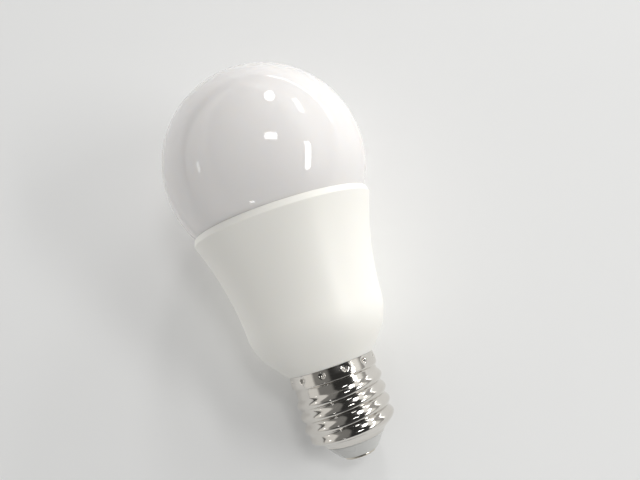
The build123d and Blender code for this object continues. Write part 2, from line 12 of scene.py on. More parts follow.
import bpy
import numpy as np
from mathutils import Matrix, Vector


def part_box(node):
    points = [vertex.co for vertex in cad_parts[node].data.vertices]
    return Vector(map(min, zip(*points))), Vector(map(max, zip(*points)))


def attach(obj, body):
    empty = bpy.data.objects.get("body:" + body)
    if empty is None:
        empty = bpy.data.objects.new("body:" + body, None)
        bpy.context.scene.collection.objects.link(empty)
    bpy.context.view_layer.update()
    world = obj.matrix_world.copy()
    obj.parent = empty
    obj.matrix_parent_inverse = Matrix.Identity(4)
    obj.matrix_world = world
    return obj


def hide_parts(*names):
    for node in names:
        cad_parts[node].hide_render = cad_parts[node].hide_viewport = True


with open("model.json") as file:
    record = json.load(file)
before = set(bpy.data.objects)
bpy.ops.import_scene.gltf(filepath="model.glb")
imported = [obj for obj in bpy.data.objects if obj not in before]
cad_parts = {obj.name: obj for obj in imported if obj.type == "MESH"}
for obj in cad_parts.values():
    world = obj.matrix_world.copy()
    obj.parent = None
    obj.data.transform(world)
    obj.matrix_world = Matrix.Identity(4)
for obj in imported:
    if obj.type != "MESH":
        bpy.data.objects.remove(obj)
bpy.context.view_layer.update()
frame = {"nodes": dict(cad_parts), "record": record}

mm = 0.001

# %% [markdown]
# ## Sizes
# The frame's boxes give the outer size of each piece. What a box can't say, such as the curve of the
# waist, is a named size in millimetres, as in the construction drawing.

# %% Read the main sizes from the frame
def low_high(node):
    """The lowest and highest height of a frame node, in millimetres."""
    low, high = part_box(node)
    return low.z / mm, high.z / mm


def widest(node):
    """The largest radius of a frame node about the Z axis, in millimetres."""
    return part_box(node)[1].x / mm


globe_r = widest("diffuser_globe")
ledge_z, globe_top_z = low_high("diffuser_globe")
globe_z = globe_top_z - globe_r
neck_end_z, rim_z = low_high("housing")
cap_end_z, cap_top_z = low_high("cap_shell")
crest_r = widest("cap_shell")
insulator_face_z, insulator_top_z = low_high("cap_insulator")
plug_r = widest("cap_insulator")
contact_r = widest("centre_contact")
stem_top_z = low_high("centre_contact")[1]
print(f"globe {2 * globe_r:.1f} mm across, its centre {globe_z:.1f} mm up")
print(f"cap {2 * crest_r:.1f} mm over its thread")

# %% [markdown]
# ## Surfaces of revolution
# A turned or moulded round piece is one outline carried round an axis. The outline is an array of
# (radius, height) rows and the turn is an array of angles, so all points come from one product of the
# two. Modifiers such as Screw do the same, but a plain grid also lets the thread and the dimples be a
# formula of angle and height.

# %% Outline helpers
def rounded(corners, radii, steps=8):
    """An outline with rounded corners.

    At each inner corner the arc's centre lies on the bisector, radius / sin(half angle) away, and the arc
    turns from the foot on one side to the foot on the other.
    """
    corners = np.array(corners, float)
    pieces = [corners[:1]]
    for before, here, after, radius in zip(corners[:-2], corners[1:-1], corners[2:], radii):
        if not radius:
            pieces.append(here[None])
            continue
        back = (before - here) / np.linalg.norm(before - here)
        ahead = (after - here) / np.linalg.norm(after - here)
        half = np.arccos(np.clip(back @ ahead, -1, 1)) / 2
        bisector = (back + ahead) / np.linalg.norm(back + ahead)
        centre = here + bisector * radius / np.sin(half)
        first = here + back * radius / np.tan(half) - centre
        last = here + ahead * radius / np.tan(half) - centre
        sweep = np.pi - 2 * half
        share = np.linspace(0, 1, steps + 1)[:, None]
        turned = (np.sin((1 - share) * sweep) * first + np.sin(share * sweep) * last) / np.sin(sweep)
        pieces.append(centre + turned)
    pieces.append(corners[-1:])
    return np.vstack(pieces)


def resampled(outline, spacing):
    """The outline again, with rows at even distances of about spacing along its length."""
    reach = np.r_[0, np.cumsum(np.linalg.norm(np.diff(outline, axis=0), axis=1))]
    count = max(2, int(round(reach[-1] / spacing)))
    at = np.linspace(0, reach[-1], count + 1)
    return np.c_[np.interp(at, reach, outline[:, 0]), np.interp(at, reach, outline[:, 1])]


def revolve(outline, columns):
    """points[row, column] = (radius cos angle, radius sin angle, height), in millimetres."""
    angle = np.linspace(0, 2 * np.pi, columns, endpoint=False)
    radius, height = outline[:, :1], outline[:, 1:]
    return np.stack([radius * np.cos(angle), radius * np.sin(angle), height + 0 * angle], axis=2)


# %% Mesh helper
def grid_piece(name, points, closed, sharp_degrees=40):
    """A mesh from points[row, column] that is closed round the axis.

    A closed outline joins its last row to its first. An open one starts and ends on the axis, so its end
    rows become single points with a fan of triangles. Rows run down the outside and up the inside, which
    turns every face outwards.
    """
    rows, columns = points.shape[:2]
    column = np.arange(columns)
    beside = (column + 1) % columns
    if closed:
        grid = np.arange(rows * columns).reshape(rows, columns)
        grid = np.vstack([grid, grid[:1]])
        vertices = points.reshape(-1, 3)
        fans = []
    else:
        grid = 1 + np.arange((rows - 2) * columns).reshape(rows - 2, columns)
        vertices = np.vstack([points[0, :1], points[1:-1].reshape(-1, 3), points[-1, :1]])
        last = len(vertices) - 1
        fans = np.vstack([np.c_[0 * column, grid[0], grid[0][beside]],
                          np.c_[0 * column + last, grid[-1][beside], grid[-1]]]).tolist()
    upper, lower = grid[:-1], grid[1:]
    quads = np.stack([upper, lower, lower[:, beside], upper[:, beside]], axis=2).reshape(-1, 4).tolist()
    mesh = bpy.data.meshes.new(name)
    mesh.from_pydata(vertices * mm, [], fans + quads)
    mesh.polygons.foreach_set("use_smooth", np.ones(len(mesh.polygons), bool))
    mesh.set_sharp_from_angle(angle=np.radians(sharp_degrees))
    piece = bpy.data.objects.new(name, mesh)
    bpy.context.scene.collection.objects.link(piece)
    print(f"{name}: {len(vertices)} points, {len(fans) + len(quads)} faces")
    return piece


def stand_for(piece, node):
    """The piece rides on the one body and stands for a frame node, whose own mesh is hidden."""
    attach(piece, "root")
    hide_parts(node)


# %% [markdown]
# ## Opal globe
# The globe is blown or moulded opal plastic about a millimetre thick. It is an almost whole ball, open
# below, with a stepped spigot that goes down into the housing's mouth. The outline is two arcs about one
# centre joined by the spigot's corners. A UV sphere cut open would give a raw edge and no wall.

# %% Globe
spigot_r = 24.9
spigot_wall = 1.2
globe_cut_z = rim_z - 0.3


def ball_arc(radius, low_z, steps):
    """Rows of a ball's arc from its top pole down to a height: (radius sin t, centre + radius cos t)."""
    end = np.arccos((low_z - globe_z) / radius)
    t = np.linspace(0, end, steps)
    return np.c_[radius * np.sin(t), globe_z + radius * np.cos(t)]


inner_globe_r = globe_r - spigot_wall
inner_spigot_r = spigot_r - spigot_wall
inner_cut_z = globe_z - np.sqrt(inner_globe_r**2 - inner_spigot_r**2)
globe_outline = np.vstack([
    ball_arc(globe_r, globe_cut_z, 150),
    [[spigot_r, globe_cut_z], [spigot_r, ledge_z], [inner_spigot_r, ledge_z]],
    ball_arc(inner_globe_r, inner_cut_z, 60)[::-1],
])
globe = grid_piece("opal_globe", revolve(globe_outline, 320), closed=False)
stand_for(globe, "diffuser_globe")

# %% [markdown]
# ## White housing
# The housing is moulded in one smooth piece: a bevelled lip round the globe, a waist that curves in, a
# round shoulder and a cone that meets the cap. The waist is one large arc. The lip's bevel is what
# catches the light as a bright band, so its corners keep small, crisp radii.

# %% Housing
narrow_r = 20.32
narrow_z = 36.0
flank_curve = 95.0
lip_corner_z = 70.7
lip_top_r = 26.35
mouth_top_r = 26.0
mouth_r = 25.2
mouth_bevel = 0.8
shoulder_z = 35.8
shoulder_round = 18.0
foot_r, foot_z = 13.0, 27.0
housing_wall = 1.5
neck_seat_r = 11.35
neck_r = 11.3
neck_inner_r = 10.1


def flank(z):
    """The waist's radius at a height: one arc that is narrowest at narrow_z."""
    return narrow_r + flank_curve - np.sqrt(flank_curve**2 - (z - narrow_z) ** 2)


def flank_rows(high_z, low_z, inset, steps):
    """Rows down the waist's arc between two heights, moved in by inset."""
    z = np.linspace(high_z, low_z, steps)
    return np.c_[flank(z) - inset, z].tolist()


outside = rounded(
    [[mouth_r, ledge_z], [mouth_r, rim_z - mouth_bevel], [mouth_top_r, rim_z], [lip_top_r, rim_z],
     [flank(lip_corner_z), lip_corner_z]]
    + flank_rows(lip_corner_z - 0.5, shoulder_z + 0.4 * shoulder_round, 0, 60)
    + [[flank(shoulder_z), shoulder_z], [foot_r, foot_z], [neck_seat_r, foot_z], [neck_r, neck_end_z],
       [neck_inner_r, neck_end_z]],
    [0.15, 0.12, 0.16, 0.45] + [0] * 60 + [shoulder_round, 0.35, 0.1, 0.2], steps=10)
inside = rounded(
    [[neck_inner_r, neck_end_z], [neck_inner_r, 26.1], [flank(shoulder_z) - housing_wall, 36.3]]
    + flank_rows(shoulder_z + 5.0, ledge_z, housing_wall, 30) + [[mouth_r, ledge_z]],
    [0.8, 5.0] + [0] * 30, steps=8)
housing_outline = np.vstack([outside, inside[1:-1]])
housing = grid_piece("white_housing", revolve(housing_outline, 256), closed=True, sharp_degrees=60)
stand_for(housing, "housing")

# %% [markdown]
# ## Bead of glue
# White silicone fills the groove between the globe and the lip. It is laid by a nozzle, so its width and
# height wander. The bead is a small ring whose outline swells by a sum of sines, which closes on itself
# after one turn.

# %% Glue bead
bead_core_r = 25.42
bead_core_drop = 0.45
rng = np.random.default_rng(7)


def wander(angle, waves, strength):
    """A periodic wobble: a sum of sines with whole numbers of waves in a turn and random phases."""
    total = np.zeros_like(angle)
    for count in waves:
        total += np.sin(count * angle + rng.uniform(0, 2 * np.pi)) / len(waves)
    return strength * total


bead_angle = np.linspace(0, 2 * np.pi, 512, endpoint=False)
bead_top = rim_z - 0.10 + wander(bead_angle, (3, 7, 12, 19, 31, 47), 0.16)
bead_reach = 25.72 + wander(bead_angle, (2, 5, 11, 23, 37), 0.10)
bead_rows = []
for turn in np.linspace(0, 2 * np.pi, 14, endpoint=False):
    bead_r = bead_core_r + (bead_reach - bead_core_r) * np.cos(turn)
    bead_z = rim_z - bead_core_drop + (bead_top - rim_z + bead_core_drop) * np.sin(-turn)
    bead_rows.append(np.stack([bead_r * np.cos(bead_angle), bead_r * np.sin(bead_angle), bead_z], axis=1))
bead = grid_piece("glue_bead", np.array(bead_rows), closed=True, sharp_degrees=180)
stand_for(bead, "rim_adhesive")

# %% [markdown]
# ## Screw cap
# The cap is one sheet of plated brass, a third of a millimetre thick. Rolls press the thread into it, a
# ring of punches pins its collar to the plastic neck and its lower edge is turned in over the insulator.
# So the radius is a plain outline, plus a thread that depends on angle and height, minus a dent at each
# punch. The inside follows the outside, one sheet further in.

# %% Thread and dimples
pitch = 3.629
root_r = 12.15
thread_start_z = 7.4
thread_start_angle = np.pi
thread_turns = 3.8
fade_turns = 0.45
crest_fullness = 0.8
thread_low_z, thread_low_fade = 6.2, 1.6
thread_high_z, thread_high_fade = 22.9, 0.5
dimple_count = 12
dimple_z = 25.45
dimple_depth = 0.62
dimple_half = 0.95
punch_r = 12.7


def smooth_step(x):
    """0 below 0, 1 above 1, and 3x^2 - 2x^3 between."""
    x = np.clip(x, 0, 1)
    return x * x * (3 - 2 * x)


def thread_rise(angle, z):
    """Height of the rolled thread over its root.

    The phase counts pitches from the crest line, which climbs one pitch a turn. The rise is a rounded
    cosine of the phase, and it fades in and out along the first and last part of a turn.
    """
    turn = ((angle - thread_start_angle) % (2 * np.pi)) / (2 * np.pi)
    phase = (z - thread_start_z) / pitch - turn
    along = np.round(phase) + turn
    ends = smooth_step(along / fade_turns + 0.3) * smooth_step((thread_turns + 0.15 - along) / fade_turns)
    crest = (0.5 + 0.5 * np.cos(2 * np.pi * phase)) ** crest_fullness
    return (crest_r - root_r) * crest * ends


def dimple_dent(angle, z):
    """Depth of the punched dimples: a rounded dent round each punch, wider at the top than below."""
    step = 2 * np.pi / dimple_count
    across = (angle / step - 0.5 - np.round(angle / step - 0.5)) * step * punch_r
    up = z - dimple_z
    narrowing = 1 + 0.35 * np.clip(up, -1.2, 1.2)
    far = np.sqrt((across / (dimple_half * narrowing)) ** 2 + (up / 1.05) ** 2)
    return dimple_depth * np.exp(-(far / 0.72) ** 3)


# %% Cap shell
sheet = 0.3
cap_outside = rounded(
    [[12.55, cap_top_z], [12.8, 24.9], [12.8, 23.5], [root_r, 22.75], [root_r, 7.5], [9.35, 5.6],
     [8.75, cap_end_z]],
    [3.0, 0.45, 0.35, 1.0, 0.5], steps=8)
cap_outside = resampled(cap_outside, 0.115)
cap_inside = resampled(rounded(
    [[8.5, cap_end_z + 0.05], [9.1, 5.85], [root_r - sheet, 7.75], [root_r - sheet, 22.9], [12.45, 23.6],
     [12.45, 24.9], [12.25, cap_top_z]], [0.5, 1.0, 0.35, 0.45, 3.0], steps=6), 0.3)
cap_columns = 256
cap_angle = np.linspace(0, 2 * np.pi, cap_columns, endpoint=False)


def cap_points(outline):
    """The outline turned round the axis, with the thread added to its radius and the dents taken off."""
    radius, height = outline[:, :1], outline[:, 1:]
    above = smooth_step((height - thread_low_z) / thread_low_fade)
    below = smooth_step((thread_high_z - height) / thread_high_fade)
    thread_room = above * below
    radius = radius + thread_rise(cap_angle, height) * thread_room - dimple_dent(cap_angle, height)
    sideways, forward = radius * np.cos(cap_angle), radius * np.sin(cap_angle)
    return np.stack([sideways, forward, height + 0 * cap_angle], axis=2)


cap = grid_piece("screw_cap", np.vstack([cap_points(cap_outside), cap_points(cap_inside)]), closed=True,
                 sharp_degrees=70)
stand_for(cap, "cap_shell")

# %% [markdown]
# ## Insulator and contact
# A grey plastic cone plugs the cap's end and keeps the contact apart from the shell. The contact is a
# pressed button with a rounded edge and a hollow stem. Both are plain outlines with small radii.

# %% Insulator and contact
stem_r = 1.5
insulator_loop = rounded(
    [[stem_r + 0.1, insulator_top_z], [plug_r, insulator_top_z], [plug_r, 7.85], [8.85, 5.85], [8.25, 4.9],
     [8.45, 4.45], [5.3, insulator_face_z], [4.75, insulator_face_z], [4.75, 0.9], [stem_r + 0.1, 0.9]],
    [0.2, 0.2, 0.2, 0.1, 0.25, 1.3, 0.12, 0], steps=8)
insulator = grid_piece("insulator_cone", revolve(insulator_loop, 192), closed=True)
stand_for(insulator, "cap_insulator")

contact_outline = rounded(
    [[0, 5.0], [0.6, 5.0], [0.6, stem_top_z], [stem_r, stem_top_z], [stem_r, 0.9], [contact_r, 0.9],
     [contact_r, 0], [0, 0]],
    [0.1, 0.15, 0.2, 0.1, 0.15, 0.5], steps=8)
contact = grid_piece("contact_button", revolve(contact_outline, 160), closed=False)
stand_for(contact, "centre_contact")

# %% [markdown]
# ## Shared effects
# Three effects come back in most finishes: a colour that drifts slightly, a fine grain on the surface,
# and hair lines left by rolling or wiping. Each is one node group with named inputs, so that a material
# only says how much of it it wants. The groups put out colours and heights and leave the shader to the
# material.

# %% Node helpers
def new_group(name, inputs, outputs):
    """An empty shader group with named sockets. Inputs and outputs map names to (socket type, value)."""
    group = bpy.data.node_groups.new(name, "ShaderNodeTree")
    for socket, (kind, value) in inputs.items():
        made = group.interface.new_socket(socket, in_out="INPUT", socket_type=kind)
        made.default_value = value
    for socket, kind in outputs.items():
        group.interface.new_socket(socket, in_out="OUTPUT", socket_type=kind)
    return group, group.nodes.new("NodeGroupInput"), group.nodes.new("NodeGroupOutput")


def link(tree, source, target):
    """Joins an output socket to an input socket."""
    tree.links.new(source, target)


# %% Colour drift
drift, drift_in, drift_out = new_group(
    "colour_drift",
    {"Colour": ("NodeSocketColor", (0.8, 0.8, 0.8, 1)), "Other": ("NodeSocketColor", (0.7, 0.7, 0.7, 1)),
     "Scale": ("NodeSocketFloat", 60.0)},
    {"Colour": "NodeSocketColor", "Mask": "NodeSocketFloat"})
place = drift.nodes.new("ShaderNodeTexCoord")
cloud = drift.nodes.new("ShaderNodeTexNoise")
cloud.inputs["Detail"].default_value = 4.0
blend = drift.nodes.new("ShaderNodeMix")
blend.data_type = "RGBA"
link(drift, place.outputs["Object"], cloud.inputs["Vector"])
link(drift, drift_in.outputs["Scale"], cloud.inputs["Scale"])
link(drift, cloud.outputs["Fac"], blend.inputs["Factor"])
link(drift, drift_in.outputs["Colour"], blend.inputs[6])
link(drift, drift_in.outputs["Other"], blend.inputs[7])
link(drift, blend.outputs[2], drift_out.inputs["Colour"])
link(drift, cloud.outputs["Fac"], drift_out.inputs["Mask"])

# %% Fine grain
grain, grain_in, grain_out = new_group(
    "fine_grain", {"Scale": ("NodeSocketFloat", 3000.0)}, {"Height": "NodeSocketFloat"})
place = grain.nodes.new("ShaderNodeTexCoord")
speckle = grain.nodes.new("ShaderNodeTexNoise")
speckle.inputs["Detail"].default_value = 3.0
speckle.inputs["Roughness"].default_value = 0.6
link(grain, place.outputs["Object"], speckle.inputs["Vector"])
link(grain, grain_in.outputs["Scale"], speckle.inputs["Scale"])
link(grain, speckle.outputs["Fac"], grain_out.inputs["Height"])

# %% Hair lines
lines, lines_in, lines_out = new_group(
    "hair_lines",
    {"Scale": ("NodeSocketFloat", 400.0), "Stretch": ("NodeSocketVector", (0.05, 0.05, 1.0)),
     "Low": ("NodeSocketFloat", 0.0), "High": ("NodeSocketFloat", 1.0)},
    {"Height": "NodeSocketFloat", "Roughness": "NodeSocketFloat"})
place = lines.nodes.new("ShaderNodeTexCoord")
stretch = lines.nodes.new("ShaderNodeVectorMath")
stretch.operation = "MULTIPLY"
streaks = lines.nodes.new("ShaderNodeTexNoise")
streaks.inputs["Detail"].default_value = 5.0
streaks.inputs["Roughness"].default_value = 0.65
spread = lines.nodes.new("ShaderNodeMapRange")
link(lines, place.outputs["Object"], stretch.inputs[0])
link(lines, lines_in.outputs["Stretch"], stretch.inputs[1])
link(lines, stretch.outputs[0], streaks.inputs["Vector"])
link(lines, lines_in.outputs["Scale"], streaks.inputs["Scale"])
link(lines, streaks.outputs["Fac"], spread.inputs["Value"])
link(lines, lines_in.outputs["Low"], spread.inputs["To Min"])
link(lines, lines_in.outputs["High"], spread.inputs["To Max"])
link(lines, streaks.outputs["Fac"], lines_out.inputs["Height"])
link(lines, spread.outputs["Result"], lines_out.inputs["Roughness"])
print("node groups:", [g.name for g in bpy.data.node_groups])


# %% A material with the shared effects
def finish(name, colour, other, drift_scale, roughness, metallic=0.0, grain_scale=3000.0, grain_depth=0.002,
           hair=None, **shader):
    """A Principled finish: drifting colour, roughness that varies between two values, and a fine bump.

    roughness is (low, high). hair is the (scale, stretch) of the hair lines, or None for plain grain.
    Further keywords, with underscores for spaces, set the shader's own sockets.
    """
    material = bpy.data.materials.new(name)
    material.use_nodes = True
    tree = material.node_tree
    surface = tree.nodes["Principled BSDF"]
    surface.inputs["Metallic"].default_value = metallic
    for socket, value in shader.items():
        surface.inputs[socket.replace("_", " ")].default_value = value
    tint = tree.nodes.new("ShaderNodeGroup")
    tint.node_tree = drift
    tint.inputs["Colour"].default_value = (*colour, 1)
    tint.inputs["Other"].default_value = (*other, 1)
    tint.inputs["Scale"].default_value = drift_scale
    link(tree, tint.outputs["Colour"], surface.inputs["Base Color"])
    bump = tree.nodes.new("ShaderNodeBump")
    bump.inputs["Distance"].default_value = grain_depth * mm
    bump.inputs["Strength"].default_value = 1.0
    if hair:
        marks = tree.nodes.new("ShaderNodeGroup")
        marks.node_tree = lines
        marks.inputs["Scale"].default_value = hair[0]
        marks.inputs["Stretch"].default_value = hair[1]
        marks.inputs["Low"].default_value, marks.inputs["High"].default_value = roughness
        link(tree, marks.outputs["Roughness"], surface.inputs["Roughness"])
        link(tree, marks.outputs["Height"], bump.inputs["Height"])
    else:
        texture = tree.nodes.new("ShaderNodeGroup")
        texture.node_tree = grain
        texture.inputs["Scale"].default_value = grain_scale
        link(tree, texture.outputs["Height"], bump.inputs["Height"])
        vary = tree.nodes.new("ShaderNodeMapRange")
        vary.inputs["To Min"].default_value, vary.inputs["To Max"].default_value = roughness
        link(tree, tint.outputs["Mask"], vary.inputs["Value"])
        link(tree, vary.outputs["Result"], surface.inputs["Roughness"])
    link(tree, bump.outputs["Normal"], surface.inputs["Normal"])
    return material


def dress(piece, material):
    """Gives a piece one material."""
    piece.data.materials.clear()
    piece.data.materials.append(material)


# %% [markdown]
# ## Finishes that show
# The globe is glossy opal plastic: a little light goes into it and comes out again, so its shadows are
# soft and faintly warm. The housing is satin plastic in a creamier white. The cap is bright nickel over
# rolled sheet, with hair lines round the axis from the rolls.

# %% Visible finishes
opal = finish("opal_plastic", (0.80, 0.765, 0.74), (0.83, 0.80, 0.775), 25.0, (0.035, 0.055),
              grain_scale=500.0, grain_depth=0.0002,
              Subsurface_Weight=0.35, Subsurface_Radius=(1.0, 0.85, 0.7), Subsurface_Scale=0.003, IOR=1.5)
satin = finish("satin_white_plastic", (0.87, 0.855, 0.80), (0.845, 0.828, 0.775), 30.0, (0.36, 0.44),
               grain_scale=4500.0, grain_depth=0.003, IOR=1.48, Subsurface_Weight=0.12,
               Subsurface_Radius=(1.0, 0.85, 0.6), Subsurface_Scale=0.0015)
nickel = finish("bright_nickel", (0.78, 0.755, 0.715), (0.68, 0.655, 0.615), 180.0, (0.05, 0.17),
                metallic=1.0, hair=(2500.0, (0.06, 0.06, 1.0)), grain_depth=0.004)
silicone = finish("white_silicone", (0.80, 0.79, 0.76), (0.70, 0.69, 0.66), 900.0, (0.4, 0.6),
                  grain_scale=2500.0, grain_depth=0.02)
grey_plastic = finish("light_grey_plastic", (0.60, 0.60, 0.575), (0.53, 0.53, 0.51), 120.0, (0.22, 0.34),
                      grain_scale=2500.0, grain_depth=0.004, IOR=1.5)
contact_metal = finish("plated_contact", (0.70, 0.66, 0.58), (0.58, 0.54, 0.47), 400.0, (0.2, 0.4),
                       metallic=1.0, hair=(1800.0, (1.0, 0.25, 1.0)), grain_depth=0.006)
for piece, material in ((globe, opal), (housing, satin), (cap, nickel), (bead, silicone),
                        (insulator, grey_plastic), (contact, contact_metal)):
    dress(piece, material)
    print(f"{piece.name} wears {material.name}")

# %% [markdown]
# ## Finishes inside
# What the housing hides still gets its own finish, because someone may take the bulb apart. One table of
# colours and values is enough: each row names the record's slot that it is for.

# %% Hidden finishes
inner = {
    "cast_aluminium": dict(colour=(0.72, 0.73, 0.74), other=(0.6, 0.61, 0.62), drift_scale=300.0,
                           roughness=(0.35, 0.55), metallic=1.0, grain_depth=0.02),
    "silicone": dict(colour=(0.55, 0.56, 0.58), other=(0.45, 0.46, 0.48), drift_scale=500.0,
                     roughness=(0.6, 0.8)),
    "board_white": dict(colour=(0.86, 0.86, 0.84), other=(0.80, 0.80, 0.78), drift_scale=200.0,
                        roughness=(0.3, 0.4)),
    "chip_white": dict(colour=(0.85, 0.72, 0.18), other=(0.80, 0.62, 0.12), drift_scale=900.0,
                       roughness=(0.35, 0.5)),
    "chip_warm": dict(colour=(0.85, 0.45, 0.10), other=(0.78, 0.36, 0.07), drift_scale=900.0,
                      roughness=(0.35, 0.5)),
    "screw_steel": dict(colour=(0.58, 0.58, 0.60), other=(0.42, 0.42, 0.43), drift_scale=900.0,
                        roughness=(0.25, 0.45), metallic=1.0),
    "connector_plastic": dict(colour=(0.80, 0.78, 0.70), other=(0.74, 0.72, 0.64), drift_scale=500.0,
                              roughness=(0.4, 0.5)),
    "board_laminate": dict(colour=(0.02, 0.16, 0.07), other=(0.04, 0.27, 0.12), drift_scale=350.0,
                           roughness=(0.25, 0.45), hair=(500.0, (1.0, 1.0, 0.08)), grain_depth=0.02),
    "pin_metal": dict(colour=(0.75, 0.66, 0.42), other=(0.6, 0.52, 0.34), drift_scale=900.0,
                      roughness=(0.2, 0.35), metallic=1.0),
    "ferrite": dict(colour=(0.055, 0.055, 0.06), other=(0.09, 0.09, 0.095), drift_scale=700.0,
                    roughness=(0.5, 0.75), grain_depth=0.02),
    "winding_copper": dict(colour=(0.72, 0.28, 0.09), other=(0.52, 0.17, 0.05), drift_scale=500.0,
                           roughness=(0.25, 0.4), metallic=1.0, hair=(3500.0, (0.05, 0.05, 1.0)),
                           grain_depth=0.06),
    "black_plastic": dict(colour=(0.02, 0.02, 0.022), other=(0.035, 0.035, 0.037), drift_scale=900.0,
                          roughness=(0.45, 0.6), grain_depth=0.01),
    "capacitor_sleeve": dict(colour=(0.02, 0.025, 0.05), other=(0.03, 0.035, 0.07), drift_scale=300.0,
                             roughness=(0.25, 0.35)),
    "yellow_plastic": dict(colour=(0.72, 0.50, 0.05), other=(0.64, 0.43, 0.04), drift_scale=300.0,
                           roughness=(0.25, 0.4)),
    "surge_blue": dict(colour=(0.02, 0.10, 0.42), other=(0.03, 0.14, 0.5), drift_scale=400.0,
                       roughness=(0.2, 0.35), grain_depth=0.02),
    "resistor_green": dict(colour=(0.14, 0.30, 0.22), other=(0.10, 0.23, 0.17), drift_scale=500.0,
                           roughness=(0.5, 0.65)),
    "ceramic_tan": dict(colour=(0.36, 0.23, 0.12), other=(0.28, 0.18, 0.10), drift_scale=900.0,
                        roughness=(0.4, 0.6)),
    "tinned_sheet": dict(colour=(0.70, 0.70, 0.69), other=(0.56, 0.56, 0.55), drift_scale=400.0,
                         roughness=(0.2, 0.4), metallic=1.0, hair=(900.0, (1.0, 1.0, 0.1))),
    "live_wire": dict(colour=(0.50, 0.02, 0.02), other=(0.42, 0.015, 0.015), drift_scale=500.0,
                      roughness=(0.35, 0.45)),
    "bare_wire": dict(colour=(0.74, 0.70, 0.64), other=(0.6, 0.56, 0.5), drift_scale=900.0,
                      roughness=(0.2, 0.35), metallic=1.0),
}
made = {slot: finish("inner_" + slot, **values) for slot, values in inner.items()}
shown_again = {"diffuser_globe", "housing", "rim_adhesive", "cap_shell", "cap_insulator", "centre_contact"}
slot_of = {row["node"]: row["material_slot"] for row in frame["record"]["subparts"]}
for node, thing in frame["nodes"].items():
    if node not in shown_again:
        for holder in thing.material_slots:
            holder.material = made[slot_of[node]]
print(f"{len(made)} hidden finishes on {len(frame['nodes']) - len(shown_again)} nodes")

# %% [markdown]
# ## Floor
# The bulb lies on its side: on the lip and globe at one end and on the cap's thread at the other. The
# frame keeps the axis upright, so the floor is a plane that leans against the bulb from behind. It shows
# to the camera and in reflections from its front only, and lets plain light through, so that the far side
# can be looked at too.

# %% Floor plane
floor_colour = (0.80, 0.80, 0.79)
rest_points = np.array([[crest_r, thread_start_z + pitch / 2], [flank(lip_corner_z), lip_corner_z]])
along = rest_points[1] - rest_points[0]
floor_lean = np.arctan2(along[0], along[1])
floor_normal = np.array([0, -np.cos(floor_lean), np.sin(floor_lean)])
outer_points = np.vstack([cap_outside + [crest_r - root_r, 0], housing_outline, globe_outline])
floor_gap = np.max(outer_points @ np.array([np.cos(floor_lean), -np.sin(floor_lean)])) + 0.15
floor_half = 6.0
across = np.array([1.0, 0, 0])
up_floor = np.cross(floor_normal, across)
centre = -floor_normal * floor_gap * mm
signs = ((-1, -1), (1, -1), (1, 1), (-1, 1))
corners = [centre + floor_half * (a * across + b * up_floor) for a, b in signs]
floor_mesh = bpy.data.meshes.new("floor")
floor_mesh.from_pydata(corners, [], [(0, 1, 2, 3)])
floor = bpy.data.objects.new("floor", floor_mesh)
bpy.context.scene.collection.objects.link(floor)
if floor_mesh.polygons[0].normal @ Vector(floor_normal) < 0:
    floor_mesh.flip_normals()
print(f"floor leans {np.degrees(floor_lean):.1f} degrees")

# %% Floor material
floor_material = bpy.data.materials.new("pale_floor")
floor_material.use_nodes = True
tree = floor_material.node_tree
tree.nodes.clear()
matt = tree.nodes.new("ShaderNodeBsdfDiffuse")
matt.inputs["Color"].default_value = (*floor_colour, 1)
clear = tree.nodes.new("ShaderNodeBsdfTransparent")
ray = tree.nodes.new("ShaderNodeLightPath")
side = tree.nodes.new("ShaderNodeNewGeometry")
seen = tree.nodes.new("ShaderNodeMath")
seen.operation = "MAXIMUM"
seen_glass = tree.nodes.new("ShaderNodeMath")
seen_glass.operation = "MAXIMUM"
front = tree.nodes.new("ShaderNodeMath")
front.operation = "SUBTRACT"
front.inputs[0].default_value = 1.0
both = tree.nodes.new("ShaderNodeMath")
both.operation = "MULTIPLY"
choose = tree.nodes.new("ShaderNodeMixShader")
out = tree.nodes.new("ShaderNodeOutputMaterial")
link(tree, ray.outputs["Is Camera Ray"], seen.inputs[0])
link(tree, ray.outputs["Is Glossy Ray"], seen.inputs[1])
link(tree, seen.outputs[0], seen_glass.inputs[0])
link(tree, ray.outputs["Is Transmission Ray"], seen_glass.inputs[1])
link(tree, side.outputs["Backfacing"], front.inputs[1])
link(tree, seen_glass.outputs[0], both.inputs[0])
link(tree, front.outputs[0], both.inputs[1])
link(tree, both.outputs[0], choose.inputs["Fac"])
link(tree, clear.outputs[0], choose.inputs[1])
link(tree, matt.outputs[0], choose.inputs[2])
link(tree, choose.outputs[0], out.inputs["Surface"])
floor_mesh.materials.append(floor_material)
print("floor material:", floor_material.name, floor_colour)

# %% [markdown]
# ## Studio light
# Softboxes stand round the bulb and their level is a brightness, so that it doesn't change with their
# size. The ones in front make the crisp white shapes on the globe. The room between them is pale for
# plain light, and for polished metal it is a ring of pale panels with dark gaps, as a studio sets round a
# shiny thing. The three fills light the room without showing in reflections.

# %% Softboxes
light_distance = 1.3
light_centre = Vector((0, 0, globe_z * mm))


def toward(heading, height):
    """A unit vector: heading degrees from the front (-Y) towards +X, and height degrees above the level."""
    a, e = np.radians(heading), np.radians(height)
    return Vector((np.sin(a) * np.cos(e), -np.cos(a) * np.cos(e), np.sin(e)))


